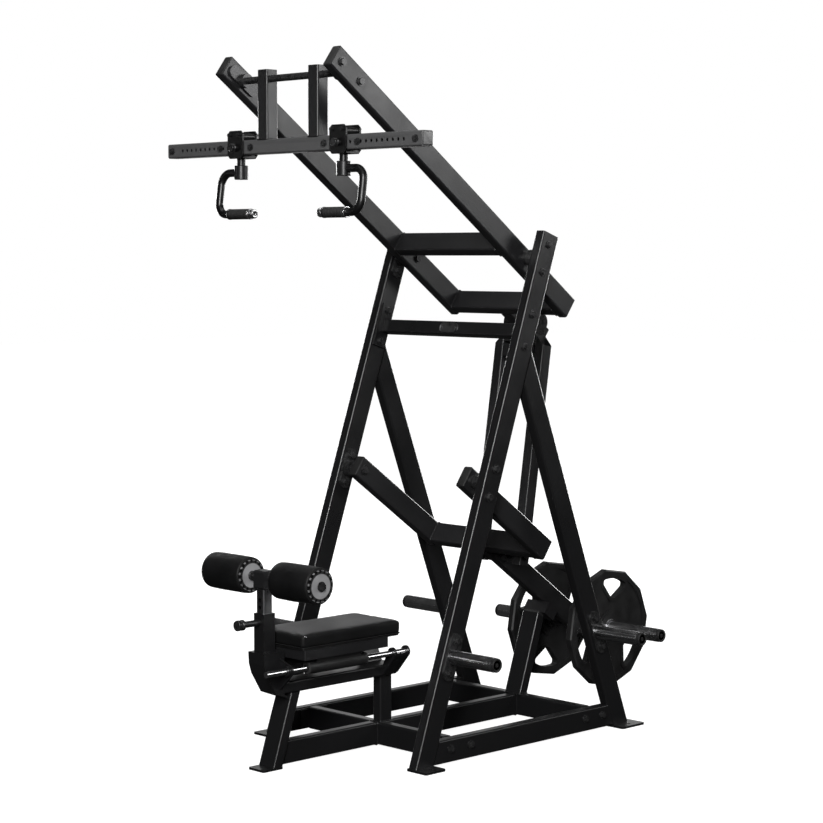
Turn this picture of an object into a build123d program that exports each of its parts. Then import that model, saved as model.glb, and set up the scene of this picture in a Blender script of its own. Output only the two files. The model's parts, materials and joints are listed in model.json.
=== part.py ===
from build123d import *
import math
import os

# Lat pulldown machine with two coupled arms. Millimetres, +Z up, -Y is the user's side.
# Heights are measured from the floor. Y is measured from a fixed line between the feet,
# and every part is moved back by Y_MID at export, so that the origin is under the middle.
Y_MID = 354.31

# steel tube
WALL = 3.0
CORNER = 7.0
DEEP = 80.0
WIDE = 40.0
FIT = 0.05
GAP = 0.3

# frame
LEG_X = 369.0
LEG_INNER_X = LEG_X - WIDE / 2
LEG_OUTER_X = LEG_X + WIDE / 2
FRONT_LEAN = 19.1
REAR_LEAN = -20.9
FRONT_FOOT_Y = -116.7
REAR_FOOT_Y = 897.2
FRONT_LEG_TOP = 1903.8
REAR_LEG_TOP = 1490.0
FOOT_THICK = 8.0
ANCHOR_R = 7.0
BASE_TOP = FOOT_THICK + DEEP
FRONT_CROSS_Y = 33.0
REAR_CROSS_Y = 748.0
POST_LEAN = 18.6
POST_FOOT_Y = 716.4
BADGE_ALONG = 1550.0
BADGE_TALL = 50.0
STORAGE_ALONG = 389.0
HORN_R = 25.0
STORAGE_END_X = 601.0
FLANGE_THICK = 8.0

# pivots, along the front leg from the floor
UPPER_PIVOT_ALONG = 1814.8
LOWER_PIVOT_ALONG = 999.4
AXLE_R = 12.5

# upper arm: measured along its top edge from the front corner
UPPER_CORNER = (-401.0, 2401.0)
UPPER_SLOPE = -36.22
UPPER_LENGTH = 1413.0
RAIL_X = 274.0
RAIL_INNER_X = RAIL_X - WIDE / 2
RAIL_OUTER_X = RAIL_X + WIDE / 2
UPPER_CROSS = (1021.0, 1385.0)
STUB_END = 1610.0
STUB_WIDE = 50.0
LINK_TOP_ALONG = 1509.0
SHAFT_ALONG = 83.0
SHAFT_R = 12.0

# lower arm: measured along its centreline from the lower pivot
LOWER_SLOPE = -35.64
LOWER_FRONT = -28.0
LOWER_RAIL_END = 477.0
LINK_LOW_ALONG = 555.0
HORN_ALONG = 1085.4
LOWER_END = 1132.0
HORN_END_X = 416.0
HORN_ROOT_R = 24.5
PLATE_X = 150.0
PLATE_R = 225.0
PLATE_THICK = 36.0

# link yoke
LINK_TUBE = 50.0
LINK_INNER_X = 79.0
LINK_WIDE = 45.0
LUG_R = 35.0

# handle yoke
YOKE_X = 128.0
YOKE_Y = -355.0
BEAM_Z = 2092.0
BEAM_TUBE = 50.0
BEAM_HALF = 642.0
HOLE_PITCH = 25.0
CARRIAGE_X = 260.5
CARRIAGE_WIDE = 80.0
HUB_Y = -362.0
HUB_TOP = 2032.0
HUB_SIZE = 48.0
STUD_R = 10.0
STUD_DEEP = 36.0
HANDLE_R = 13.5
HANDLE_TILT = 8.0

# seat and thigh hold-down
SEAT_LEAN = 18.2
SEAT_FOOT_Y = -465.0
RAIL_LOW = 253.0
RAIL_TOP = 293.0
SLEEVE_Y = -487.0
SLEEVE = 50.0
POST = 40.0
SLEEVE_TOP = 530.0
PIN_Z = 500.0
ROLLER_YZ = (-480.0, 648.0)
ROLLER_R = 63.0
ROD_X = 85.0
ROD_Z = 340.0
ROD_R = 10.5

parts = {}


def group(*shapes):
    """Separate solids kept together in one part."""
    return Compound([solid for shape in shapes for solid in shape.solids()])


def mirrored(shape):
    return mirror(shape, about=Plane.YZ)


def pair(shape):
    """A right-hand piece and its mirror image."""
    return group(shape, mirrored(shape))


def slope(y, z, angle):
    """Frame on an inclined line of the side view: X across, Y below the line, Z along it."""
    run = (0, math.cos(math.radians(angle)), math.sin(math.radians(angle)))
    return Plane(origin=(0, y, z), x_dir=(1, 0, 0), z_dir=run)


def lean(y, angle):
    """Frame on a leg's centreline from the floor: X across, Y to the leg's rear, Z up the leg."""
    return slope(y, 0, 90 - angle)


def tube(length, wide=WIDE, deep=DEEP, closed=True):
    """Rectangular tube with rounded corners, standing on the origin."""
    cap = WALL if closed else 0
    outer = extrude(RectangleRounded(wide, deep, CORNER), length)
    bore = RectangleRounded(wide - 2 * WALL, deep - 2 * WALL, CORNER - WALL)
    return outer - Pos(0, 0, cap) * extrude(bore, length - 2 * cap)


def rod(radius, length):
    """Round bar from the origin along +X."""
    return Rot(0, 90, 0) * Cylinder(radius, length, align=(Align.CENTER, Align.CENTER, Align.MIN))


def pipe(radius, length, wall=4.0):
    """Round tube from the origin along +X."""
    return rod(radius, length) - Pos(wall, 0, 0) * rod(radius - wall, length - 2 * wall)


def trim(shape, point, normal):
    """Cuts away what lies beyond a plane."""
    reach = 3000
    block = Box(reach, reach, reach, align=(Align.CENTER, Align.CENTER, Align.MIN))
    return shape - Plane(origin=point, z_dir=normal) * block


def bolt(size=12.0):
    """Hexagon head on a washer, rising along +Z."""
    washer = extrude(Circle(size * 1.3), 2.5)
    head = Pos(0, 0, 2.5) * extrude(RegularPolygon(size, 6), 8)
    return washer + head


def side_bolt(size=12.0):
    """Bolt head that points to +X."""
    return Rot(0, 90, 0) * bolt(size)


def inner_nut(size=12.0):
    """Nut on a washer that points to -X."""
    return Rot(0, -90, 0) * bolt(size)


FRONT_LEG = lean(FRONT_FOOT_Y, FRONT_LEAN)
REAR_LEG = lean(REAR_FOOT_Y, REAR_LEAN)
REST_POST = lean(POST_FOOT_Y, POST_LEAN)
SEAT_LEG = lean(SEAT_FOOT_Y, SEAT_LEAN)
UPPER = slope(UPPER_CORNER[0], UPPER_CORNER[1], UPPER_SLOPE)
upper_axis = FRONT_LEG.from_local_coords((0, 0, UPPER_PIVOT_ALONG))
lower_axis = FRONT_LEG.from_local_coords((0, 0, LOWER_PIVOT_ALONG))
LOWER = slope(lower_axis.Y, lower_axis.Z, LOWER_SLOPE)


def face_of(frame, offset):
    """Point and outward normal of the face that lies at this offset from a frame's centreline."""
    point = frame.from_local_coords((0, offset, 0))
    normal = frame.from_local_coords((0, offset + math.copysign(1, offset), 0)) - point
    return point, normal


def leg(frame, top):
    """One right-hand leg, cut level on its foot plate."""
    column = frame * Pos(LEG_X, 0, -60) * tube(top + 60)
    return trim(column, (0, 0, FOOT_THICK), (0, 0, -1))


# ---------------------------------------------------------------- frame: legs and base
front_rear_face = face_of(FRONT_LEG, DEEP / 2)
rear_front_face = face_of(REAR_LEG, -DEEP / 2)
into_front_leg = (front_rear_face[0], -front_rear_face[1])
into_rear_leg = (rear_front_face[0], -rear_front_face[1])

front_leg = leg(FRONT_LEG, FRONT_LEG_TOP)
parts["right_front_leg"] = front_leg
parts["left_front_leg"] = mirrored(front_leg)

rear_leg = trim(leg(REAR_LEG, REAR_LEG_TOP), *into_front_leg)
parts["right_rear_leg"] = rear_leg
parts["left_rear_leg"] = mirrored(rear_leg)

side_start = FRONT_FOOT_Y
side_length = REAR_FOOT_Y - FRONT_FOOT_Y
side_tube = Pos(LEG_X, side_start, FOOT_THICK + DEEP / 2) * Rot(-90, 0, 0) * tube(side_length, closed=False)
side_tube = trim(trim(side_tube, *into_front_leg), *into_rear_leg)
parts["base_side_tubes"] = pair(side_tube)


def cross_tube(y):
    """Base tube between the side tubes, with a bolted plate on each end."""
    half = LEG_INNER_X - 6
    beam = Pos(-half, y, FOOT_THICK + DEEP / 2) * Rot(0, 90, 0) * tube(2 * half, wide=DEEP, deep=WIDE)
    plate = Pos(half + 3, y + 8, FOOT_THICK + DEEP / 2) * Box(6, 130, 64)
    return group(beam, pair(plate))


parts["base_cross_tubes"] = group(cross_tube(FRONT_CROSS_Y), cross_tube(REAR_CROSS_Y))


def spine(start, end):
    """Base tube on the centre line, from the seat to the rear."""
    return Pos(0, start, FOOT_THICK + DEEP / 2) * Rot(-90, 0, 0) * tube(end - start, closed=False)


spine_front = spine(SEAT_FOOT_Y, FRONT_CROSS_Y - WIDE / 2)
seat_rear_face = face_of(SEAT_LEG, WIDE / 2)
spine_front = trim(spine_front, seat_rear_face[0], -seat_rear_face[1])
spine_rear = spine(FRONT_CROSS_Y + WIDE / 2, REAR_CROSS_Y - WIDE / 2)
parts["base_spine"] = group(spine_front, spine_rear)


def foot_plate(x0, x1, y0, y1):
    """Floor plate with rounded corners."""
    middle = Pos((x0 + x1) / 2, (y0 + y1) / 2, 0)
    return extrude(middle * RectangleRounded(x1 - x0, y1 - y0, 8), FOOT_THICK)


def anchor_hole(x, y):
    return Pos(x, y, 0) * Cylinder(ANCHOR_R, 4 * FOOT_THICK)


FRONT_ANCHOR = (418.0, -118.0)
REAR_ANCHOR = (412.0, 912.0)
front_foot = foot_plate(349, 445, -165, -70) - anchor_hole(*FRONT_ANCHOR)
rear_foot = foot_plate(349, 437, 850, 974) - anchor_hole(*REAR_ANCHOR)
seat_foot = foot_plate(-40, 40, -528, -439)
parts["foot_plates"] = group(pair(front_foot), pair(rear_foot), seat_foot)

# ---------------------------------------------------------------- frame: rest post and badge
STOP_DROP = 46.0
PAD_THICK = 10.0
REST_GAP = 0.4
REST_ALONG = 868.0
stop_low = DEEP / 2 + STOP_DROP
post_cut = stop_low + REST_GAP + PAD_THICK
rest_post = REST_POST * tube(600, wide=DEEP, deep=WIDE)
rest_post = trim(rest_post, (0, 0, BASE_TOP), (0, 0, -1))
cut_point, cut_normal = face_of(LOWER, post_cut)
parts["rest_post"] = trim(rest_post, cut_point, -cut_normal)
rest_pad = LOWER * Pos(0, post_cut - PAD_THICK / 2, REST_ALONG - 21) * Box(70, PAD_THICK, 36)
parts["rest_pad"] = fillet(rest_pad.edges(), 2)

badge_half = LEG_INNER_X - FLANGE_THICK
BADGE_SHIFT = -16.0
badge_frame = FRONT_LEG * Pos(0, -BADGE_SHIFT, BADGE_ALONG)
badge_beam = badge_frame * Pos(-badge_half, 0, 0) * Rot(0, 90, 0) * tube(2 * badge_half, BADGE_TALL, WIDE)
badge_flange = badge_frame * Pos(badge_half + FLANGE_THICK / 2, BADGE_SHIFT, 0) * Box(FLANGE_THICK, 56, 160)
parts["badge_beam"] = group(badge_beam, pair(badge_flange))
badge = extrude(SlotOverall(88, 36), 2.5)
badge_rim = extrude(SlotOverall(88, 36) - SlotOverall(82, 30), 1.2)
badge = badge + Pos(0, 0, 2.5) * badge_rim
parts["badge_plate"] = badge_frame * Pos(0, -WIDE / 2, 0) * Rot(90, 0, 0) * badge

# ---------------------------------------------------------------- frame: storage horns
HORN_FLANGE = 112.0
CAP_LONG = 12.0
horn_length = STORAGE_END_X - LEG_OUTER_X - FLANGE_THICK - CAP_LONG
storage_spot = Pos(LEG_OUTER_X, 0, STORAGE_ALONG)
storage_frames = [FRONT_LEG * storage_spot, REAR_LEG * storage_spot]


def oval_plate(spacing, width, thick, bore=0.0):
    """Two-bolt flange lying on X = 0, long way up."""
    plate = extrude(SlotCenterToCenter(spacing, width, rotation=90), thick)
    if bore:
        plate = plate - Cylinder(bore, 4 * thick)
    return Rot(0, 90, 0) * Rot(0, 0, 90) * plate


flanges = [frame * oval_plate(HORN_FLANGE, 52, FLANGE_THICK) for frame in storage_frames]
horns = [frame * Pos(FLANGE_THICK, 0, 0) * pipe(HORN_R, horn_length) for frame in storage_frames]
cap = rod(HORN_R - 1, CAP_LONG)
caps = [frame * Pos(FLANGE_THICK + horn_length, 0, 0) * cap for frame in storage_frames]
parts["storage_horns"] = group(*[pair(horn) for horn in horns])
parts["storage_horn_fittings"] = group(*[pair(piece) for piece in flanges + caps])

# ---------------------------------------------------------------- frame: arm bearings and bolts
HOUSING_R = 30.0
HOUSING_END_X = 316.0
BOLT_SPACING = 100.0


def arm_bearing(along):
    """Flanged bearing on the inner face of the right front leg."""
    plate = oval_plate(BOLT_SPACING, 50, FLANGE_THICK)
    housing = rod(HOUSING_R, LEG_INNER_X - HOUSING_END_X)
    bore = Pos(-100, 0, 0) * rod(AXLE_R + FIT, 300)
    body = Pos(LEG_INNER_X - FLANGE_THICK, 0, 0) * plate + Pos(HOUSING_END_X, 0, 0) * housing
    return FRONT_LEG * Pos(0, 0, along) * (body - Pos(HOUSING_END_X, 0, 0) * bore)


parts["arm_bearings"] = group(pair(arm_bearing(UPPER_PIVOT_ALONG)), pair(arm_bearing(LOWER_PIVOT_ALONG)))

through_bolts = [BADGE_ALONG - 59.5, BADGE_ALONG + 59.5]
for along in (UPPER_PIVOT_ALONG, LOWER_PIVOT_ALONG):
    through_bolts = through_bolts + [along - BOLT_SPACING / 2, along + BOLT_SPACING / 2]
bolts = []
for along in through_bolts:
    bolts.append(FRONT_LEG * Pos(LEG_OUTER_X, 0, along) * side_bolt())
    bolts.append(FRONT_LEG * Pos(LEG_INNER_X - FLANGE_THICK, 0, along) * inner_nut())
for frame in storage_frames:
    for offset in (-HORN_FLANGE / 2, HORN_FLANGE / 2):
        bolts.append(frame * Pos(FLANGE_THICK, 0, offset) * side_bolt(10))
for y in (7, 105, 697, 790):
    bolts.append(Pos(LEG_OUTER_X, y, 55) * side_bolt(11))
parts["frame_bolts"] = group(*[pair(piece) for piece in bolts])

# ---------------------------------------------------------------- seat support
seat_leg = SEAT_LEG * Pos(0, 0, -20) * tube(340, wide=DEEP, deep=WIDE, closed=False)
seat_leg = trim(seat_leg, (0, 0, FOOT_THICK), (0, 0, -1))
seat_leg = trim(seat_leg, (0, 0, RAIL_LOW), (0, 0, 1))
SEAT_POST_Y = 56.5
SEAT_POST_DEEP = 57.0
seat_post = Pos(0, SEAT_POST_Y, BASE_TOP) * tube(RAIL_LOW - BASE_TOP, WIDE, SEAT_POST_DEEP, closed=False)
parts["seat_supports"] = group(seat_leg, seat_post)
RAIL_FRONT = -434.0
RAIL_REAR = 88.0
rail_mid = (RAIL_LOW + RAIL_TOP) / 2
seat_rail = Pos(0, RAIL_FRONT, rail_mid) * Rot(-90, 0, 0) * tube(RAIL_REAR - RAIL_FRONT, DEEP, WIDE)
parts["seat_rail"] = seat_rail

BRACKET_TOP = 400.0
bracket_side = [
    (-525, BRACKET_TOP),
    (-523, 361),
    (-513, 327),
    (-471, 257),
    (-413, 235),
    (RAIL_FRONT, RAIL_LOW),
    (RAIL_FRONT, BRACKET_TOP),
]
bracket_face = Plane.YZ * Polygon(*bracket_side, align=None)
bracket = extrude(bracket_face, DEEP / 2, both=True)
hollow_side = [
    (-520.5, BRACKET_TOP - 5),
    (-518, 362),
    (-508.5, 330),
    (-468, 262),
    (-446, 254),
    (-439, 258),
    (-439, BRACKET_TOP - 5),
]
bracket = bracket - extrude(Plane.YZ * Polygon(*hollow_side, align=None), DEEP / 2 - 5, both=True)
sleeve_slot = Pos(0, SLEEVE_Y, BRACKET_TOP) * Box(SLEEVE, SLEEVE, 30)
bracket = bracket - sleeve_slot

SLEEVE_LOW = 350.0
sleeve_bore = POST + 2 * 0.5
sleeve = extrude(Rectangle(SLEEVE, SLEEVE) - Rectangle(sleeve_bore, sleeve_bore), SLEEVE_TOP - SLEEVE_LOW)
sleeve = Pos(0, SLEEVE_Y, SLEEVE_LOW) * sleeve
sleeve_front = SLEEVE_Y - SLEEVE / 2
BARREL_LONG = 66.0
PLUNGER_R = 6.0
toward_user = Rot(90, 0, 0)
barrel = Pos(0, sleeve_front, PIN_Z) * toward_user * extrude(Circle(11), BARREL_LONG)
plunger_bore = extrude(Circle(PLUNGER_R + FIT), BARREL_LONG + 20)
plunger_bore = Pos(0, sleeve_front + 8, PIN_Z) * toward_user * plunger_bore
parts["seat_bracket"] = group(bracket, sleeve - plunger_bore, barrel - plunger_bore)

ROD_FRONT = -554.0
ROD_LEFT_FRONT = -472.0
ROD_REAR = 92.0


def guide_rod(x, front):
    """Round bar beside the rail that the seat slides on."""
    return Pos(x, front, ROD_Z) * Rot(-90, 0, 0) * extrude(Circle(ROD_R), ROD_REAR - front)


parts["seat_guide_rods"] = group(guide_rod(ROD_X, ROD_FRONT), guide_rod(-ROD_X, ROD_LEFT_FRONT))


LUG_R_OUTER = 20.0


def rod_lug(y, thick, low, high, bore=ROD_R):
    """Plate beside the rail that carries one guide rod in its rounded end."""
    rail_edge = Pos(DEEP / 2 - ROD_X + 0.5, (low + high) / 2 - ROD_Z) * Rectangle(1, high - low)
    profile = make_hull(Circle(LUG_R_OUTER).edges() + rail_edge.edges())
    profile = profile - Circle(bore)
    return Pos(ROD_X, y + thick, ROD_Z) * Rot(90, 0, 0) * extrude(profile, thick)


def lug_block():
    """Solid foot between the two rear lugs, under the rod."""
    block = rod_lug(28, 56, 259, 292, bore=14.0)
    return block - Pos(ROD_X, 56, ROD_Z + 50) * Box(3 * LUG_R_OUTER, 80, 100)


lugs = [rod_lug(-456, 8, 270, 375), rod_lug(20, 8, 259, 292), rod_lug(84, 8, 259, 292), lug_block()]
collar = Pos(ROD_X, -456, ROD_Z) * Rot(90, 0, 0) * extrude(Circle(17) - Circle(ROD_R), 12)
parts["rod_lugs"] = group(*[pair(piece) for piece in lugs + [collar]])

# ---------------------------------------------------------------- upper arm
rail = UPPER * Pos(RAIL_X, DEEP / 2, 0) * tube(UPPER_LENGTH)
parts["upper_rails"] = pair(rail)


def arm_cross(frame, depth, along):
    """Tube between the two rails of an arm."""
    return frame * Pos(-RAIL_INNER_X, depth, along) * Rot(0, 90, 0) * tube(2 * RAIL_INNER_X)


parts["upper_cross_tubes"] = group(*[arm_cross(UPPER, DEEP / 2, along) for along in UPPER_CROSS])
stub_start = UPPER_CROSS[1] + WIDE / 2
link_bore = Rot(0, 90, 0) * Cylinder(SHAFT_R, 400)
stub = UPPER * Pos(0, DEEP / 2, stub_start) * tube(STUB_END - stub_start, wide=STUB_WIDE)
link_top = UPPER * Pos(0, DEEP / 2, LINK_TOP_ALONG)
parts["upper_stub"] = stub - link_top * link_bore

upper_pivot = slope(upper_axis.Y, upper_axis.Z, UPPER_SLOPE)
AXLE_END_X = 345.0


def arm_axle(frame):
    """Stub axle on the outer face of the right rail, with a shoulder, and its nut inside."""
    shoulder = Pos(RAIL_OUTER_X, 0, 0) * rod(22, 16)
    axle = shoulder + Pos(RAIL_OUTER_X, 0, 0) * rod(AXLE_R, AXLE_END_X - RAIL_OUTER_X)
    return frame * group(axle, Pos(RAIL_INNER_X, 0, 0) * inner_nut(14))


link_pin = Pos(-77, 0, 0) * rod(SHAFT_R, 154)
spacer = Pos(STUB_WIDE / 2, 0, 0) * rod(20, 18)
link_pin = link_top * (link_pin + spacer + mirrored(spacer))
parts["upper_arm_pins"] = group(pair(arm_axle(upper_pivot)), link_pin)

shaft_frame = UPPER * Pos(0, DEEP / 2, SHAFT_ALONG)
SHAFT_HOUSING_X = 228.0
shaft_housing = Pos(SHAFT_HOUSING_X, 0, 0) * rod(24, RAIL_INNER_X - SHAFT_HOUSING_X)
shaft_housing = shaft_housing + Pos(RAIL_INNER_X - FLANGE_THICK, 0, 0) * oval_plate(99, 44, FLANGE_THICK)
shaft_housing = shaft_frame * (shaft_housing - rod(SHAFT_R + FIT, 400))
arm_bolts = []
for along in (SHAFT_ALONG - 49.5, SHAFT_ALONG + 49.5):
    arm_bolts.append(UPPER * Pos(RAIL_OUTER_X, DEEP / 2, along) * side_bolt())
parts["handle_shaft_bearings"] = group(*[pair(piece) for piece in [shaft_housing] + arm_bolts])

# ---------------------------------------------------------------- link yoke
top_point = UPPER.from_local_coords((0, DEEP / 2, LINK_TOP_ALONG))
low_point = LOWER.from_local_coords((0, 0, LINK_LOW_ALONG))
link_run = low_point - top_point
link_length = link_run.length
LINK = slope(top_point.Y, top_point.Z, math.degrees(math.atan2(link_run.Z, link_run.Y)))
CHAMFER_LOW = 88.0
CROSSBAR_TOP = 84.0
LINK_BELOW = 32.0
link_start = CHAMFER_LOW - LINK_WIDE
link_x = LINK_INNER_X + LINK_WIDE / 2
link_tube = Pos(link_x, 0, link_start) * tube(link_length + LINK_BELOW - link_start, LINK_WIDE, LINK_TUBE)
slant = Plane(origin=(LINK_INNER_X, 0, link_start), x_dir=(0, 1, 0), z_dir=(1, 0, -1))
link_tube = link_tube - slant * Box(200, 200, 200, align=(Align.CENTER, Align.CENTER, Align.MIN))
parts["link_tubes"] = pair(LINK * link_tube)
crossbar = Pos(-LINK_INNER_X, 0, CROSSBAR_TOP + LINK_TUBE / 2) * Rot(0, 90, 0)
parts["link_crossbar"] = LINK * crossbar * tube(2 * LINK_INNER_X, LINK_TUBE, LINK_TUBE)

LUG_X = 48.0
lug_disc = Pos(LUG_X, 0, 0) * rod(LUG_R, LINK_INNER_X - LUG_X)
lug_stem = Pos((LUG_X + LINK_INNER_X) / 2, 0, 38) * Box(LINK_INNER_X - LUG_X, 44, 76)
lug = lug_disc + lug_stem - rod(SHAFT_R + FIT, 200)
link_bolt = Pos(LINK_INNER_X + LINK_WIDE, 0, link_length) * side_bolt()
parts["link_fittings"] = group(pair(LINK * lug), pair(LINK * link_bolt))

# ---------------------------------------------------------------- lower arm
low_rail = LOWER * Pos(RAIL_X, 0, LOWER_FRONT) * tube(LOWER_RAIL_END - LOWER_FRONT)
parts["lower_rails"] = pair(low_rail)
parts["lower_cross_tube"] = arm_cross(LOWER, 0, LOWER_RAIL_END - WIDE / 2)
horn_bore = LOWER * Pos(-200, 0, HORN_ALONG) * rod(HORN_ROOT_R, 400)
pin_bore = LOWER * Pos(-200, 0, LINK_LOW_ALONG) * rod(SHAFT_R, 400)
centre_tube = LOWER * Pos(0, 0, LOWER_RAIL_END) * tube(LOWER_END - LOWER_RAIL_END)
stop_block = LOWER * Pos(0, DEEP / 2 + STOP_DROP / 2, 871) * Box(110, STOP_DROP, 60)
parts["lower_centre_tube"] = group(centre_tube - horn_bore - pin_bore, stop_block)
low_pin = Pos(-76, 0, 0) * rod(SHAFT_R, 152)
low_boss = Pos(WIDE / 2, 0, 0) * rod(30, 30)
low_pin = LOWER * Pos(0, 0, LINK_LOW_ALONG) * (low_pin + low_boss + mirrored(low_boss))
parts["lower_arm_pins"] = group(pair(arm_axle(LOWER)), low_pin)

horn_frame = LOWER * Pos(0, 0, HORN_ALONG)
horn_root = PLATE_X + PLATE_THICK / 2 + 0.5
horn_middle = Pos(-horn_root, 0, 0) * pipe(HORN_ROOT_R, 2 * horn_root)
horn_tip = Pos(horn_root, 0, 0) * pipe(HORN_R, HORN_END_X - CAP_LONG - horn_root)
parts["plate_horn"] = group(horn_frame * horn_middle, pair(horn_frame * horn_tip))
horn_collar = Pos(PLATE_X - PLATE_THICK / 2 - 14, 0, 0) * (rod(38, 13.5) - rod(HORN_ROOT_R, 40))
horn_cap = Pos(HORN_END_X - CAP_LONG, 0, 0) * cap
parts["plate_horn_collars"] = group(pair(horn_frame * horn_collar), pair(horn_frame * horn_cap))

# ---------------------------------------------------------------- weight plates
RIM_THICK = 30.0
RECESS = 5.0
HOLE_APEX = 112.0
HOLE_OUTER = 188.0
LIP = 11.0


def grip_hole(margin=0.0):
    """Face of one grip hole on local +X: narrow towards the hub, with an arc along the rim."""
    near = HOLE_APEX - margin
    flare = math.tan(math.radians(48))
    far = 260.0
    half = 10 + margin * 0.7
    sides = [(near, -half), (far, -half - (far - near) * flare)]
    sides = sides + [(far, half + (far - near) * flare), (near, half)]
    wedge = Polygon(*sides, align=None) & Circle(HOLE_OUTER + margin)
    wedge = wedge & Pos(HOLE_OUTER - 40, 0, 0) * Rectangle(200, 2 * (64 + margin))
    return fillet(wedge.vertices(), 9 + margin / 2)


def weight_plate(phase):
    """Twelve-sided rubber plate on X = 0 with three grip holes; phase turns it about its axis."""
    disc = extrude(RegularPolygon(PLATE_R, 12, rotation=15), RIM_THICK / 2, both=True)
    disc = chamfer(disc.edges().filter_by(Axis.Z, reverse=True), 5)
    web = extrude(Circle(HOLE_OUTER + 8) - Circle(66), RECESS)
    disc = disc - Pos(0, 0, RIM_THICK / 2 - RECESS) * web - Pos(0, 0, -RIM_THICK / 2) * web
    disc = disc + Cylinder(56, PLATE_THICK)
    lip = extrude(grip_hole(LIP), RIM_THICK / 2 - 1, both=True)
    hole = extrude(grip_hole(), RIM_THICK, both=True)
    for number in range(3):
        disc = disc + Rot(0, 0, 120 * number) * lip
    for number in range(3):
        disc = disc - Rot(0, 0, 120 * number) * hole
    disc = disc - Cylinder(HORN_R + GAP, 100)
    return Rot(0, 90, 0) * Rot(0, 0, 90 + phase) * disc


plate_frame = Pos(0, horn_frame.position.Y, horn_frame.position.Z)
RIGHT_PHASE = 80.5
LEFT_PHASE = 20.5
parts["weight_plate_right"] = plate_frame * Pos(PLATE_X, 0, 0) * weight_plate(RIGHT_PHASE)
parts["weight_plate_left"] = plate_frame * Pos(-PLATE_X, 0, 0) * weight_plate(LEFT_PHASE)

# ---------------------------------------------------------------- handle yoke
shaft_y, shaft_z = shaft_frame.position.Y, shaft_frame.position.Z
YOKE_TOP = 2351.0
beam_top = BEAM_Z + BEAM_TUBE / 2
shaft_end = RAIL_INNER_X - 6
handle_shaft = Pos(-shaft_end, shaft_y, shaft_z) * rod(SHAFT_R, 2 * shaft_end)
parts["handle_shaft"] = handle_shaft
yoke_tube = Pos(YOKE_X, YOKE_Y, beam_top) * tube(YOKE_TOP - beam_top, BEAM_TUBE, BEAM_TUBE)
shaft_hole = Pos(-300, shaft_y, shaft_z) * rod(SHAFT_R, 600)
parts["yoke_tubes"] = pair(yoke_tube - shaft_hole)

beam = Pos(-BEAM_HALF, YOKE_Y, BEAM_Z) * Rot(0, 90, 0) * tube(2 * BEAM_HALF, BEAM_TUBE, BEAM_TUBE)
front_y = YOKE_Y - BEAM_TUBE / 2
for number in range(13):
    for side in (-1, 1):
        hole_x = side * (CARRIAGE_X + HOLE_PITCH * number)
        beam = beam - Pos(hole_x, front_y, BEAM_Z) * Rot(90, 0, 0) * Cylinder(6, 20)
parts["handle_beam"] = beam
STOP_X = (187.0, 348.0, 616.0)
stops = [Pos(x, front_y, BEAM_Z) * toward_user * bolt(9) for x in STOP_X]
parts["beam_stop_bolts"] = group(*[pair(piece) for piece in stops])

# ---------------------------------------------------------------- sliding handle carriages
CHEEK = 6.0
CHEEK_GAP = 3.0
PIN_BOSS = 6.0
CARRIAGE_LOW = 2055.0
CARRIAGE_TOP = 2150.0
cheek_front = front_y - CHEEK_GAP
cheek_rear = YOKE_Y + BEAM_TUBE / 2 + CHEEK_GAP


def carriage():
    """Right-hand carriage: two cheeks around the beam, two top rollers, bottom block and swivel stud."""
    cheek = extrude(Rectangle(CARRIAGE_WIDE, CARRIAGE_TOP - CARRIAGE_LOW), CHEEK)
    cheek = chamfer(cheek.edges().filter_by(Axis.Z), 12)
    middle = (CARRIAGE_TOP + CARRIAGE_LOW) / 2
    front = Pos(0, cheek_front, middle) * toward_user * cheek
    rear = Pos(0, cheek_rear + CHEEK, middle) * toward_user * cheek
    gap = cheek_rear - cheek_front
    floor_z = BEAM_Z - BEAM_TUBE / 2 - GAP - 5
    block = Pos(0, YOKE_Y, floor_z) * Box(CARRIAGE_WIDE - 8, gap, 10)
    body = front + rear + block
    for x in (-24, 24):
        roller_z = beam_top + 12 + GAP
        body = body + Pos(x, YOKE_Y, roller_z) * Rot(90, 0, 0) * Cylinder(12, gap)
        body = body + Pos(x, cheek_front - CHEEK, roller_z + 6) * toward_user * bolt(6.5)
        body = body + Pos(x, cheek_rear + CHEEK, roller_z + 6) * Rot(-90, 0, 0) * bolt(6.5)
    stud_top = floor_z - 5
    neck = Pos(0, HUB_Y, HUB_TOP + GAP) * extrude(Circle(15), stud_top - HUB_TOP - GAP)
    stud = Pos(0, HUB_Y, HUB_TOP - STUD_DEEP) * extrude(Circle(STUD_R), STUD_DEEP + 2)
    body = body + neck + stud
    body = body + Pos(0, cheek_front - CHEEK, BEAM_Z) * toward_user * extrude(Circle(11), PIN_BOSS)
    pin_hole = Pos(0, cheek_front + 5, BEAM_Z) * toward_user * extrude(Circle(4 + FIT), 40)
    return Pos(CARRIAGE_X, 0, 0) * (body - pin_hole)


parts["carriage_right"] = carriage()
parts["carriage_left"] = mirrored(parts["carriage_right"])


def knob(radius, length):
    """Pull knob with a waist, rising along +Z."""
    body = Cylinder(radius, length, align=(Align.CENTER, Align.CENTER, Align.MIN))
    body = fillet(body.edges(), 3)
    return body - Pos(0, 0, length / 2) * Torus(radius + 4, 6)


pin_tip = cheek_front + 0.6
pin_long = CHEEK + PIN_BOSS + 1.2
carriage_pin = extrude(Circle(4), pin_long) + Pos(0, 0, pin_long) * knob(14, 14)
carriage_pin = Pos(CARRIAGE_X, pin_tip, BEAM_Z) * toward_user * carriage_pin
parts["carriage_pin_right"] = carriage_pin
parts["carriage_pin_left"] = mirrored(carriage_pin)

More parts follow.
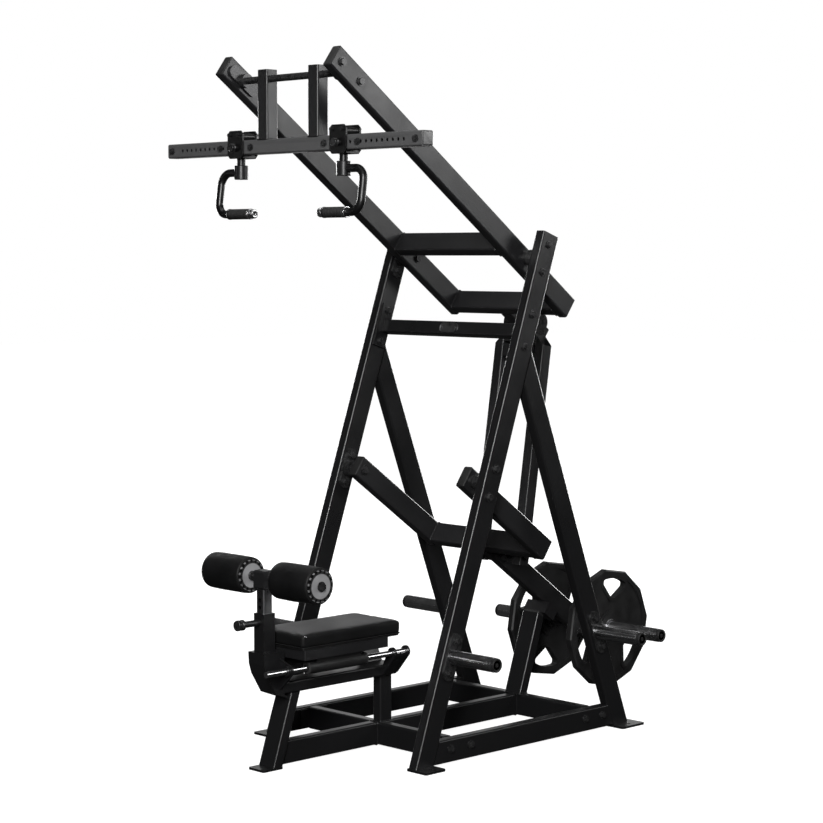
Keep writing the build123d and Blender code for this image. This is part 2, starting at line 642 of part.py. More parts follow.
# ---------------------------------------------------------------- swivelling handles
HANDLE_OUT = 100.0
HANDLE_DROP = 144.0
HANDLE_IN = -93.5
BEND_R = 42.0
GRIP_IN = -75.5
GRIP_OUT = 39.5
hub_mid = HUB_TOP - HUB_SIZE / 2
handle_frame = Plane(
    origin=(CARRIAGE_X, HUB_Y, hub_mid),
    x_dir=(1, 0, 0),
    z_dir=(0, -math.cos(math.radians(HANDLE_TILT)), math.sin(math.radians(HANDLE_TILT))),
)
hub_edge = HUB_SIZE / 2
route = FilletPolyline(
    (hub_edge - 2, 0),
    (HANDLE_OUT, 0),
    (HANDLE_OUT, -HANDLE_DROP),
    (HANDLE_IN, -HANDLE_DROP),
    radius=BEND_R,
)
section = Plane(origin=(hub_edge - 2, 0, 0), x_dir=(0, 1, 0), z_dir=(1, 0, 0))
handle_tube = sweep(section * Circle(HANDLE_R), path=route)
hub = Pos(CARRIAGE_X, HUB_Y, hub_mid) * Cylinder(HUB_SIZE / 2, HUB_SIZE)
hub = chamfer(hub.edges(), 2)
stud_socket = Pos(CARRIAGE_X, HUB_Y, HUB_TOP - STUD_DEEP - 2) * Cylinder(
    STUD_R + FIT, 60, align=(Align.CENTER, Align.CENTER, Align.MIN))
handle = handle_frame * handle_tube + hub - stud_socket
parts["handle_right"] = handle
parts["handle_left"] = mirrored(handle)

grip_ring = Circle(18.5) - Circle(HANDLE_R)
grip_start = Plane(origin=(GRIP_IN, -HANDLE_DROP, 0), x_dir=(0, 1, 0), z_dir=(1, 0, 0))
grip = handle_frame * extrude(grip_start * grip_ring, GRIP_OUT - GRIP_IN)
parts["grip_right"] = grip
parts["grip_left"] = mirrored(grip)

# ---------------------------------------------------------------- thigh hold-down
POST_LOW = 356.0
HEAD_LOW = 612.0
HEAD_TOP = 674.0
post = Pos(0, SLEEVE_Y, POST_LOW) * tube(HEAD_LOW - POST_LOW, POST, POST)
for number in range(-3, 4):
    post_hole = Pos(0, SLEEVE_Y - POST / 2, PIN_Z + HOLE_PITCH * number) * Rot(90, 0, 0) * Cylinder(7, 20)
    post = post - post_hole
parts["hold_down_post"] = post
roller_y, roller_z = ROLLER_YZ
head = Pos(0, SLEEVE_Y, (HEAD_LOW + HEAD_TOP) / 2) * Box(52, 52, HEAD_TOP - HEAD_LOW)
head = chamfer(head.edges().filter_by(Axis.X), 6)
AXLE_BAR_R = 11.0
ROLLER_IN = 78.0
ROLLER_OUT = 270.0
DISC_THICK = 6.0
axle_frame = Pos(0, roller_y, roller_z)
AXLE_HALF = ROLLER_OUT + DISC_THICK + 2
parts["roller_head"] = head - axle_frame * Pos(-100, 0, 0) * rod(AXLE_BAR_R, 200)
axle = axle_frame * Pos(-AXLE_HALF, 0, 0) * rod(AXLE_BAR_R, 2 * AXLE_HALF)
inner_collar = Pos(ROLLER_IN - DISC_THICK - 10, 0, 0) * rod(17, 9)
end_nut = Pos(AXLE_HALF, 0, 0) * side_bolt(13)
parts["roller_axle"] = axle + pair(axle_frame * inner_collar) + pair(axle_frame * end_nut)
foam = Pos(ROLLER_IN, 0, 0) * (rod(ROLLER_R, ROLLER_OUT - ROLLER_IN) - rod(AXLE_BAR_R + GAP, 400))
foam = axle_frame * foam
parts["roller_right"] = foam
parts["roller_left"] = mirrored(foam)
DISC_R = 53.0
NOTCH_R = 7.2
disc_face = Circle(DISC_R) - Circle(AXLE_BAR_R + GAP)
for spot in PolarLocations(DISC_R - 3.5, 16):
    disc_face = disc_face - spot * Circle(NOTCH_R)
end_disc = Rot(0, 90, 0) * extrude(disc_face, DISC_THICK)
discs = axle_frame * Pos(ROLLER_OUT, 0, 0) * end_disc
discs = group(discs, axle_frame * Pos(ROLLER_IN - DISC_THICK, 0, 0) * end_disc)
parts["roller_discs_right"] = discs
parts["roller_discs_left"] = group(mirrored(discs))

plunger_tip = sleeve_front + 4.2
plunger_long = 4.2 + BARREL_LONG + 0.8
plunger = extrude(Circle(PLUNGER_R), plunger_long) + Pos(0, 0, plunger_long) * knob(18, 30)
parts["post_pull_pin"] = Pos(0, plunger_tip, PIN_Z) * toward_user * plunger

# ---------------------------------------------------------------- sliding seat
BOX_LOW = 373.0
BOX_TOP = 407.0
BOX_WIDE = 236.0
BOX_LONG = 385.0
BOX_Y = -217.5
BOX_WALL = 4.0
seat_box = extrude(RectangleRounded(BOX_WIDE, BOX_LONG, 6), BOX_TOP - BOX_LOW)
hollow_plan = Rectangle(BOX_WIDE - 2 * BOX_WALL, BOX_LONG - 2 * BOX_WALL)
box_hollow = extrude(hollow_plan, BOX_TOP - BOX_LOW - 2 * BOX_WALL)
parts["seat_box"] = Pos(0, BOX_Y, BOX_LOW) * (seat_box - Pos(0, 0, BOX_WALL) * box_hollow)
housing = Pos(ROD_X, -112, ROD_Z) * toward_user * extrude(Circle(21.5), 259)
saddle = Pos(ROD_X, -241.5, (ROD_Z + BOX_LOW) / 2) * Box(30, 200, BOX_LOW - ROD_Z)
housing_bore = Pos(ROD_X, 0, ROD_Z) * toward_user * extrude(Circle(ROD_R + FIT), 600)
parts["seat_bearings"] = pair(housing + saddle - housing_bore)
PAD_FRONT = -425.0
PAD_REAR = 40.0
PAD_TOP = 462.0
PAD_WIDE = 250.0
pad = Box(PAD_WIDE, PAD_REAR - PAD_FRONT, PAD_TOP - BOX_TOP, align=(Align.CENTER, Align.MIN, Align.MIN))
pad = Pos(0, PAD_FRONT, BOX_TOP) * pad
pad = fillet(pad.edges().filter_by(Axis.Z), 14)
parts["seat_pad"] = fillet(pad.faces().sort_by(Axis.Z)[-1].edges(), 10)

os.makedirs("parts", exist_ok=True)
for name, shape in parts.items():
    placed = Pos(0, -Y_MID, 0) * shape
    export_step(placed, "parts/" + name + ".step")
print(len(parts), "parts")
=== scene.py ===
import json
import math

import bmesh
import bpy
from mathutils import Matrix, Vector, noise


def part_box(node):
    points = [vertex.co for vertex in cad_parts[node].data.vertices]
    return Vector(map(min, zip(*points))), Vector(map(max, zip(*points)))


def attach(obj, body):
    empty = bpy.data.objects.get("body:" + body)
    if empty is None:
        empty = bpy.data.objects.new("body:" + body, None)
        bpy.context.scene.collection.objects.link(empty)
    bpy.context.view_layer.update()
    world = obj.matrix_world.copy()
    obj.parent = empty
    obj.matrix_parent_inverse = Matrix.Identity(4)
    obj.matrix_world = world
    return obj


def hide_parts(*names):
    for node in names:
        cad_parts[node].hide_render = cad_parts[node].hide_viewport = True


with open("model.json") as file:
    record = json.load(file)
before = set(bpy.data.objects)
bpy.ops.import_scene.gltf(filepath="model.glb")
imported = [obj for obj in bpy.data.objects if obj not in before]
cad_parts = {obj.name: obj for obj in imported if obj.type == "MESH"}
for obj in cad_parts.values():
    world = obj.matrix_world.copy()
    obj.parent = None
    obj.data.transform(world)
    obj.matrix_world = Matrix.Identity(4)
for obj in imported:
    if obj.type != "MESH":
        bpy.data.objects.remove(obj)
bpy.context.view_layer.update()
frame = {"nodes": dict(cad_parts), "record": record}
nodes = frame["nodes"]
scene = bpy.context.scene

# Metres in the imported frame: X across, -Y towards the seat, Z up.
UPPER_SLOPE = -36.22
LOWER_SLOPE = -35.64
LEG_LEAN = 19.1
TUBE_WIDE = 0.040
TUBE_DEEP = 0.080
TUBE_CORNER = 0.007
POST_LEAN = 18.6
SEAT_POST_DEEP = 0.057
BEAM_SIDE = 0.050
ROD_R = 0.0105
WELD_R = 0.0026
DISC_FACE_R = 0.0405
DISC_RIM_R = 0.0505
GRIP_BORE_R = 0.01365
GRIP_R = 0.0185
SLEEVE_R = 0.0158
SLEEVE_LONG = 0.0182


# ------------------------------------------------------------------ camera, floor and light
def make_camera():
    data = bpy.data.cameras.new("camera")
    data.sensor_width = 36.0
    data.lens = 95.4
    data.shift_y = -0.0257
    data.clip_end = 60.0
    camera = bpy.data.objects.new("camera", data)
    camera.location = (5.5363, -5.5360, 1.7235)
    camera.rotation_euler = (math.radians(86.469), 0.0, math.radians(45.813))
    scene.collection.objects.link(camera)
    scene.camera = camera


def area_light(name, place, aim, size, power, fan=180.0):
    data = bpy.data.lights.new(name, "AREA")
    data.shape = "RECTANGLE"
    data.size, data.size_y = size
    data.energy = power
    data.spread = math.radians(fan)
    light = bpy.data.objects.new(name, data)
    light.location = place
    light.rotation_euler = (Vector(aim) - Vector(place)).to_track_quat("-Z", "Y").to_euler()
    light.visible_camera = False
    scene.collection.objects.link(light)


def make_world():
    """White behind the object, dim for light and reflections, so that black paint stays black."""
    world = bpy.data.worlds.new("studio")
    world.use_nodes = True
    tree = world.node_tree
    output = tree.nodes["World Output"]
    seen = tree.nodes["Background"]
    seen.inputs["Color"].default_value = (1.0, 1.0, 1.0, 1.0)
    seen.inputs["Strength"].default_value = 1.0
    lit = tree.nodes.new("ShaderNodeBackground")
    lit.inputs["Color"].default_value = (1.0, 1.0, 1.0, 1.0)
    lit.inputs["Strength"].default_value = 0.035
    path = tree.nodes.new("ShaderNodeLightPath")
    mix = tree.nodes.new("ShaderNodeMixShader")
    tree.links.new(path.outputs["Is Camera Ray"], mix.inputs[0])
    tree.links.new(lit.outputs[0], mix.inputs[1])
    tree.links.new(seen.outputs[0], mix.inputs[2])
    tree.links.new(mix.outputs[0], output.inputs["Surface"])
    scene.world = world


def make_floor():
    mesh = bpy.data.meshes.new("floor")
    reach = 30.0
    corners = [(-reach, -reach, 0), (reach, -reach, 0), (reach, reach, 0), (-reach, reach, 0)]
    mesh.from_pydata(corners, [], [(0, 1, 2, 3)])
    floor = bpy.data.objects.new("floor", mesh)
    scene.collection.objects.link(floor)
    paint, tree, shader = blank("floor_paint")
    shader.inputs["Base Color"].default_value = (0.3, 0.3, 0.3, 1.0)
    shader.inputs["Roughness"].default_value = 0.9
    distance = tree.nodes.new("ShaderNodeVectorMath")
    distance.operation = "LENGTH"
    tree.links.new(place(tree), distance.inputs[0])
    glow = tree.nodes.new("ShaderNodeEmission")
    tree.links.new(spread(tree, distance.outputs["Value"], 0.93, 1.05, 1.0, 3.4), glow.inputs["Strength"])
    bright = tree.nodes.new("ShaderNodeAddShader")
    dark = tree.nodes.new("ShaderNodeBsdfDiffuse")
    dark.inputs["Color"].default_value = (0.03, 0.03, 0.03, 1.0)
    path = tree.nodes.new("ShaderNodeLightPath")
    mix = tree.nodes.new("ShaderNodeMixShader")
    tree.links.new(shader.outputs[0], bright.inputs[0])
    tree.links.new(glow.outputs[0], bright.inputs[1])
    tree.links.new(path.outputs["Is Camera Ray"], mix.inputs[0])
    tree.links.new(dark.outputs[0], mix.inputs[1])
    tree.links.new(bright.outputs[0], mix.inputs[2])
    tree.links.new(mix.outputs[0], tree.nodes["Material Output"].inputs["Surface"])
    mesh.materials.append(paint)


def make_lights():
    area_light("key", (5.4, -6.0, 4.4), (0, 0, 1.2), (0.8, 4.4), 820)
    area_light("back", (-6.0, 6.0, 1.9), (0, 0, 1.0), (7.0, 2.4), 42)
    area_light("top", (-0.5, 0.0, 6.0), (0, 0, 0.8), (4.0, 4.0), 110)
    area_light("right", (5.2, 4.8, 3.6), (0, 0, 2.3), (3.0, 2.2), 14, 50)
    area_light("left", (-5.0, -6.5, 1.7), (0, 0, 2.0), (1.0, 0.8), 0.2, 22)
    area_light("rear", (-1.5, 7.0, 1.8), (0, 0, 1.2), (2.0, 2.4), 260)
    area_light("flank", (-7.0, 1.5, 1.8), (0, 0, 1.2), (2.0, 2.4), 260)
    scene.view_settings.view_transform = "Standard"


# ------------------------------------------------------------------ materials
def blank(name):
    material = bpy.data.materials.new(name)
    material.use_nodes = True
    return material, material.node_tree, material.node_tree.nodes["Principled BSDF"]


def place(tree):
    return tree.nodes.new("ShaderNodeTexCoord").outputs["Object"]


def stretched(tree, vector, scale):
    mapping = tree.nodes.new("ShaderNodeMapping")
    mapping.inputs["Scale"].default_value = scale
    tree.links.new(vector, mapping.inputs["Vector"])
    return mapping.outputs["Vector"]


def noise_of(tree, vector, scale, detail=4.0, rough=0.55):
    node = tree.nodes.new("ShaderNodeTexNoise")
    node.inputs["Scale"].default_value = scale
    node.inputs["Detail"].default_value = detail
    node.inputs["Roughness"].default_value = rough
    tree.links.new(vector, node.inputs["Vector"])
    return node.outputs["Fac"]


def ramp(tree, value, low, high, start=0.3, end=0.7):
    """Grey or coloured ramp from low to high while value goes from start to end."""
    node = tree.nodes.new("ShaderNodeValToRGB")
    first, last = node.color_ramp.elements
    first.position, last.position = start, end
    first.color = tuple(low) + (1.0,)
    last.color = tuple(high) + (1.0,)
    tree.links.new(value, node.inputs["Fac"])
    return node.outputs["Color"]


def spread(tree, value, low, high, start=0.3, end=0.7):
    node = tree.nodes.new("ShaderNodeMapRange")
    node.inputs["From Min"].default_value = start
    node.inputs["From Max"].default_value = end
    node.inputs["To Min"].default_value = low
    node.inputs["To Max"].default_value = high
    tree.links.new(value, node.inputs["Value"])
    return node.outputs["Result"]


def summed(tree, first, second, share=1.0):
    node = tree.nodes.new("ShaderNodeMath")
    node.operation = "MULTIPLY_ADD"
    node.inputs[1].default_value = share
    tree.links.new(second, node.inputs[0])
    tree.links.new(first, node.inputs[2])
    return node.outputs[0]


def bumped(tree, shader, height, strength, distance):
    node = tree.nodes.new("ShaderNodeBump")
    node.inputs["Strength"].default_value = strength
    node.inputs["Distance"].default_value = distance
    tree.links.new(height, node.inputs["Height"])
    tree.links.new(node.outputs["Normal"], shader.inputs["Normal"])


def finish(
    name, low, high, rough, metal=0.0, grain=700.0, blotch=9.0, bump=0.08, depth=0.0004, stretch=None
):
    """Paint, rubber or metal: colour and gloss vary slowly, and a fine grain roughens the surface."""
    material, tree, shader = blank(name)
    vector = place(tree)
    slow = noise_of(tree, vector, blotch, 5.0)
    fine_vector = stretched(tree, vector, stretch) if stretch else vector
    fine = noise_of(tree, fine_vector, grain, 3.0)
    colour = ramp(tree, summed(tree, slow, fine, 0.25), low, high, 0.42, 0.82)
    tree.links.new(colour, shader.inputs["Base Color"])
    gloss = spread(tree, summed(tree, slow, fine, 0.4), rough[0], rough[1], 0.45, 0.95)
    tree.links.new(gloss, shader.inputs["Roughness"])
    shader.inputs["Metallic"].default_value = metal
    bumped(tree, shader, fine, bump, depth)
    return material, tree, shader


def painted(name, low, high, rough):
    """Powder coat: fine orange peel over slow shifts of gloss, and lighter along the edges, partly a
    thinner coat and partly a painted highlight.
    """
    material, tree, shader = blank(name)
    vector = place(tree)
    slow = noise_of(tree, vector, 6.0, 5.0)
    peel = noise_of(tree, vector, 420.0, 2.0)
    dust = noise_of(tree, vector, 1500.0, 2.0)
    base = ramp(tree, summed(tree, slow, dust, 0.2), low, high, 0.4, 0.8)
    # Edge mask from pointiness: the lighter colour there is partly wear of the coat and partly a painted
    # highlight on the rounded edges.
    edge = tree.nodes.new("ShaderNodeNewGeometry").outputs["Pointiness"]
    wear_and_highlight = spread(tree, summed(tree, edge, slow, 0.04), 0.0, 1.0, 0.535, 0.62)
    mix = tree.nodes.new("ShaderNodeMixRGB")
    mix.inputs["Color2"].default_value = tuple(2.6 * value for value in high) + (1.0,)
    tree.links.new(wear_and_highlight, mix.inputs["Fac"])
    tree.links.new(base, mix.inputs["Color1"])
    tree.links.new(mix.outputs["Color"], shader.inputs["Base Color"])
    gloss = spread(tree, summed(tree, slow, peel, 0.3), rough[0], rough[1], 0.4, 0.9)
    tree.links.new(gloss, shader.inputs["Roughness"])
    bumped(tree, shader, summed(tree, peel, dust, 0.4), 0.12, 0.0004)
    return material


def vinyl(name, low, high, rough, cell, painted_top_sheen=None):
    """Upholstery vinyl: pebbled cells with soft creases between them, and a painted sheen, a lighter
    colour, where it faces up.
    """
    material, tree, shader = blank(name)
    vector = place(tree)
    slow = noise_of(tree, vector, 14.0, 5.0)
    warp = noise_of(tree, vector, cell * 0.5, 2.0)
    cells = tree.nodes.new("ShaderNodeTexVoronoi")
    cells.feature = "SMOOTH_F1"
    cells.inputs["Scale"].default_value = cell
    cells.inputs["Smoothness"].default_value = 0.6
    tree.links.new(vector, cells.inputs["Vector"])
    pebbles = summed(tree, cells.outputs["Distance"], warp, 0.5)
    colour = ramp(tree, summed(tree, slow, pebbles, 0.2), low, high, 0.4, 0.9)
    # Faces that point up get the lighter colours: a painted sheen.
    if painted_top_sheen:
        painted_sheen = ramp(tree, summed(tree, slow, pebbles, 0.2), painted_top_sheen[0], painted_top_sheen[1], 0.4, 0.9)
        facing = tree.nodes.new("ShaderNodeSeparateXYZ")
        tree.links.new(tree.nodes.new("ShaderNodeNewGeometry").outputs["Normal"], facing.inputs[0])
        mix = tree.nodes.new("ShaderNodeMixRGB")
        tree.links.new(spread(tree, facing.outputs["Z"], 0.0, 1.0, 0.9, 0.99), mix.inputs["Fac"])
        tree.links.new(colour, mix.inputs["Color1"])
        tree.links.new(painted_sheen, mix.inputs["Color2"])
        colour = mix.outputs["Color"]
    tree.links.new(colour, shader.inputs["Base Color"])
    gloss = spread(tree, summed(tree, slow, pebbles, 0.3), rough[0], rough[1], 0.4, 1.0)
    tree.links.new(gloss, shader.inputs["Roughness"])
    shader.inputs["Specular IOR Level"].default_value = 0.25
    bumped(tree, shader, pebbles, 0.25, 0.0005)
    return material


def turned(name, centre, low, high, rough, rings):
    """Metal faced on a lathe about an X axis: fine grooves, and a dark ring between face and rim."""
    material, tree, shader = blank(name)
    vector = place(tree)
    mapping = tree.nodes.new("ShaderNodeMapping")
    mapping.vector_type = "POINT"
    mapping.inputs["Location"].default_value = (0.0, -centre[1], -centre[2])
    mapping.inputs["Scale"].default_value = (0.0, 1.0, 1.0)
    tree.links.new(vector, mapping.inputs["Vector"])
    grooves = tree.nodes.new("ShaderNodeTexWave")
    grooves.wave_type = "RINGS"
    grooves.rings_direction = "SPHERICAL"
    grooves.inputs["Scale"].default_value = rings
    grooves.inputs["Distortion"].default_value = 1.2
    tree.links.new(mapping.outputs["Vector"], grooves.inputs["Vector"])
    slow = noise_of(tree, vector, 25.0, 3.0)
    colour = ramp(tree, summed(tree, slow, grooves.outputs["Fac"], 0.3), low, high, 0.35, 0.95)
    radius = tree.nodes.new("ShaderNodeVectorMath")
    radius.operation = "LENGTH"
    tree.links.new(mapping.outputs["Vector"], radius.inputs[0])
    toothed = spread(tree, radius.outputs["Value"], 0.0, 0.93, DISC_FACE_R, DISC_FACE_R + 0.0015)
    rim = spread(tree, radius.outputs["Value"], 0.0, 0.8, DISC_RIM_R, DISC_RIM_R + 0.001)
    dark = tree.nodes.new("ShaderNodeMath")
    dark.operation = "SUBTRACT"
    dark.use_clamp = True
    tree.links.new(toothed, dark.inputs[0])
    tree.links.new(rim, dark.inputs[1])
    mix = tree.nodes.new("ShaderNodeMixRGB")
    mix.inputs["Color2"].default_value = (0.012, 0.012, 0.012, 1.0)
    tree.links.new(dark.outputs[0], mix.inputs["Fac"])
    tree.links.new(colour, mix.inputs["Color1"])
    tree.links.new(mix.outputs["Color"], shader.inputs["Base Color"])
    gloss = spread(tree, slow, rough[0], rough[1])
    tree.links.new(gloss, shader.inputs["Roughness"])
    shader.inputs["Metallic"].default_value = 0.55
    bumped(tree, shader, grooves.outputs["Fac"], 0.06, 0.0002)
    return material


def moulded_rubber(name, low, high, rough, bands_scale=0.0):
    """Rubber with a fine matte tooth, and ribs across X where a scale for bands is given."""
    material, tree, shader = finish(name, low, high, rough, grain=900.0, blotch=18.0, bump=0.2)
    if bands_scale:
        vector = place(tree)
        bands = tree.nodes.new("ShaderNodeTexWave")
        bands.bands_direction = "X"
        bands.inputs["Scale"].default_value = bands_scale
        tree.links.new(vector, bands.inputs["Vector"])
        tooth = noise_of(tree, vector, 900.0, 3.0)
        bumped(tree, shader, summed(tree, bands.outputs["Fac"], tooth, 0.2), 0.5, 0.0008)
    return material


def make_materials():
    """One material for each of the record's slots, by slot name."""
    disc_low, disc_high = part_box("roller_discs_right")
    disc_centre = [(a + b) / 2 for a, b in zip(disc_low, disc_high)]
    black, lifted = (0.0012, 0.0012, 0.0013), (0.003, 0.003, 0.0032)
    table = {
        "frame_black": painted("frame_black", black, lifted, (0.26, 0.38)),
        "arm_black": painted("arm_black", black, (0.0045, 0.0045, 0.0048), (0.28, 0.42)),
        "beam_grey": painted("beam_grey", (0.017, 0.017, 0.0175), (0.03, 0.03, 0.0305), (0.26, 0.38)),
        "cap_black": moulded_rubber("cap_black", (0.008, 0.008, 0.008), (0.014, 0.014, 0.014), (0.4, 0.6)),
        "stop_rubber": moulded_rubber("stop_rubber", (0.01, 0.01, 0.01), (0.02, 0.02, 0.02), (0.6, 0.85)),
        "foam_black": vinyl(
            "foam_black", (0.003, 0.003, 0.0032), (0.007, 0.007, 0.0073), (0.42, 0.56), 520.0
        ),
        "pad_black": vinyl(
            "pad_black", (0.002, 0.002, 0.0022), (0.005, 0.005, 0.0052), (0.56, 0.68), 620.0,
            # Lighter colours of the painted sheen on the seat's top.
            ((0.06, 0.06, 0.061), (0.1, 0.1, 0.101))
        ),
        "grip_rubber": moulded_rubber(
            "grip_rubber", (0.007, 0.007, 0.007), (0.014, 0.014, 0.014), (0.5, 0.7), 95.0
        ),
        "plate_black": moulded_rubber(
            "plate_black", (0.004, 0.004, 0.0042), (0.011, 0.011, 0.0112), (0.42, 0.62)
        ),
        "disc_aluminium": turned(
            "disc_aluminium", disc_centre, (0.42, 0.42, 0.43), (0.52, 0.52, 0.53), (0.34, 0.46), 420.0
        ),
    }
    bolt_tone = (0.014, 0.014, 0.0145), (0.045, 0.045, 0.046)
    table["bolt_black"] = finish("bolt_black", *bolt_tone, (0.22, 0.34), metal=0.4, blotch=60.0)[0]
    chrome_tone = (0.56, 0.56, 0.57), (0.74, 0.74, 0.75)
    table["chrome"] = finish(
        "chrome", *chrome_tone, (0.15, 0.24), metal=1.0, grain=500.0, blotch=30.0, bump=0.008
    )[0]
    steel_tone = (0.25, 0.25, 0.26), (0.4, 0.4, 0.41)
    table["post_steel"] = finish(
        "post_steel", *steel_tone, (0.24, 0.36), metal=1.0, grain=900.0, blotch=20.0, bump=0.06,
        stretch=(1.0, 1.0, 0.04)
    )[0]
    badge_tone = (0.3, 0.3, 0.31), (0.42, 0.42, 0.43)
    table["badge"] = finish(
        "badge", *badge_tone, (0.26, 0.38), metal=1.0, grain=1400.0, blotch=40.0, bump=0.08,
        stretch=(0.03, 1.0, 1.0)
    )[0]
    return table


def paint_nodes(materials):
    """Every CAD node gets the material of its slot."""
    for part in frame["record"]["subparts"]:
        mesh = nodes[part["node"]].data
        mesh.materials.clear()
        mesh.materials.append(materials[part["material_slot"]])


# ------------------------------------------------------------------ mesh helpers
def piece(name, bm, material, body, smooth=True):
    """Turns a bmesh into an object of the part, riding on a body."""
    bmesh.ops.recalc_face_normals(bm, faces=bm.faces)
    mesh = bpy.data.meshes.new(name)
    bm.to_mesh(mesh)
    bm.free()
    for polygon in mesh.polygons:
        polygon.use_smooth = smooth
    obj = bpy.data.objects.new(name, mesh)
    scene.collection.objects.link(obj)
    mesh.materials.append(material)
    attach(obj, body)
    return obj


def lathe(bm, profile, matrix, steps=48, closed=True):
    """Turns (radius, height) points about the local Z axis. The profile is a loop when closed."""
    rings = []
    for radius, height in profile:
        ring = []
        for step in range(steps):
            turn = 2 * math.pi * step / steps
            point = Vector((radius * math.cos(turn), radius * math.sin(turn), height))
            ring.append(bm.verts.new(matrix @ point))
        rings.append(ring)
    spans = list(zip(rings, rings[1:] + rings[:1])) if closed else list(zip(rings, rings[1:]))
    for low, high in spans:
        for step in range(steps):
            after = (step + 1) % steps
            bm.faces.new((low[step], low[after], high[after], high[step]))
    if not closed:
        bm.faces.new(list(reversed(rings[0])))
        bm.faces.new(rings[-1])


def arc_points(centre, radius, start, end, steps):
    """Points of an arc in a profile, with angles in degrees."""
    points = []
    for step in range(steps + 1):
        angle = math.radians(start + (end - start) * step / steps)
        points.append((centre[0] + radius * math.cos(angle), centre[1] + radius * math.sin(angle)))
    return points


def rounded_outline(wide, deep, corner, steps=5):
    """Closed rounded rectangle in the XY plane, as 2D points."""
    points = []
    for sx, sy, start in ((1, 1, 0), (-1, 1, 90), (-1, -1, 180), (1, -1, 270)):
        centre = (sx * (wide / 2 - corner), sy * (deep / 2 - corner))
        points += arc_points(centre, corner, start, start + 90, steps)
    return points


def along_axis(centre, axis):
    """Matrix whose Z runs along axis from centre."""
    turn = Vector(axis).to_track_quat("Z", "Y").to_matrix().to_4x4()
    return Matrix.Translation(centre) @ turn


def bead(bm, points, radius, ripple=0.0036):
    """Weld bead along a closed loop of 3D points: a tube whose thickness ripples."""
    loop = [Vector(point) for point in points]
    count = len(loop)
    fine = []
    for index, point in enumerate(loop):
        after = loop[(index + 1) % count]
        pieces = max(1, round((after - point).length / (ripple / 3)))
        fine += [point.lerp(after, step / pieces) for step in range(pieces)]
    count = len(fine)
    middle = sum(fine, Vector()) / count
    rings = []
    walked = 0.0
    for index, point in enumerate(fine):
        before, after = fine[index - 1], fine[(index + 1) % count]
        run = (after - before).normalized()
        out = (point - middle)
        out = (out - run * out.dot(run)).normalized()
        side = run.cross(out)
        walked += (point - before).length
        swell = radius * (0.84 + 0.16 * abs(math.sin(math.pi * walked / ripple)))
        swell *= 1.0 + 0.1 * noise.noise(point * 90.0)
        ring = []
        for step in range(6):
            turn = 2 * math.pi * step / 6
            ring.append(bm.verts.new(point + swell * (math.cos(turn) * out + math.sin(turn) * side)))
        rings.append(ring)
    for low, high in zip(rings, rings[1:] + rings[:1]):
        for step in range(6):
            after = (step + 1) % 6
            bm.faces.new((low[step], low[after], high[after], high[step]))


def slope_matrix(origin, angle):
    """X across, Y below the line, Z along it: the frame of an inclined tube."""
    run = Vector((0, math.cos(math.radians(angle)), math.sin(math.radians(angle))))
    across = Vector((1, 0, 0))
    below = run.cross(across)
    turn = Matrix((across, below, run)).transposed().to_4x4()
    return Matrix.Translation(origin) @ turn


def middle_of(node):
    low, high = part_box(node)
    return (Vector(low) + Vector(high)) / 2


# ------------------------------------------------------------------ welds
def tube_end_bead(bm, matrix, wide, deep, corner=TUBE_CORNER):
    outline = rounded_outline(wide + WELD_R * 0.6, deep + WELD_R * 0.6, corner)
    bead(bm, [matrix @ Vector((x, y, 0)) for x, y in outline], WELD_R)


def sideways(centre, angle, sign):
    """Frame on a cross tube's end face: Z along +X or -X, X along the slope, Y below it."""
    base = slope_matrix(centre, angle)
    across = Matrix(((0, 0, sign), (0, 1, 0), (1, 0, 0))).to_4x4()
    return base @ across


def arm_welds(materials):
    """Beads where the arms' cross tubes meet their rails."""
    low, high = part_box("upper_cross_tubes")
    rail_inner = high[0]
    run = Vector((0, math.cos(math.radians(UPPER_SLOPE)), math.sin(math.radians(UPPER_SLOPE))))
    below = run.cross(Vector((1, 0, 0)))
    reach_y = abs(run.y) * TUBE_WIDE / 2 + abs(below.y) * TUBE_DEEP / 2
    reach_z = abs(run.z) * TUBE_WIDE / 2 + abs(below.z) * TUBE_DEEP / 2
    trim = 0.0025
    centres = [
        Vector((0, low[1] + reach_y - trim, high[2] - reach_z + trim)),
        Vector((0, high[1] - reach_y + trim, low[2] + reach_z - trim)),
    ]
    bm = bmesh.new()
    for centre in centres:
        for sign in (-1, 1):
            end = centre + Vector((sign * rail_inner, 0, 0))
            tube_end_bead(bm, sideways(end, UPPER_SLOPE, sign), TUBE_WIDE, TUBE_DEEP)
    piece("upper_arm_welds", bm, materials["arm_black"], "upper_arm")
    bm = bmesh.new()
    centre = middle_of("lower_cross_tube")
    for sign in (-1, 1):
        end = centre + Vector((sign * rail_inner, 0, 0))
        tube_end_bead(bm, sideways(end, LOWER_SLOPE, sign), TUBE_WIDE, TUBE_DEEP)
    run = Vector((0, math.cos(math.radians(LOWER_SLOPE)), math.sin(math.radians(LOWER_SLOPE))))
    start = centre + run * TUBE_WIDE / 2
    tube_end_bead(bm, slope_matrix(start, LOWER_SLOPE), TUBE_WIDE, TUBE_DEEP)
    piece("lower_arm_welds", bm, materials["arm_black"], "lower_arm")


def yoke_welds(materials):
    """Beads round the feet of the two yoke tubes, on top of the handle beam."""
    low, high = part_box("yoke_tubes")
    beam_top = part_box("handle_beam")[1][2]
    bm = bmesh.new()
    wide = high[1] - low[1]
    for sign in (-1, 1):
        foot = Vector((sign * (high[0] - wide / 2), (low[1] + high[1]) / 2, beam_top))
        tube_end_bead(bm, Matrix.Translation(foot), wide, wide)
    piece("yoke_welds", bm, materials["arm_black"], "handle_yoke")


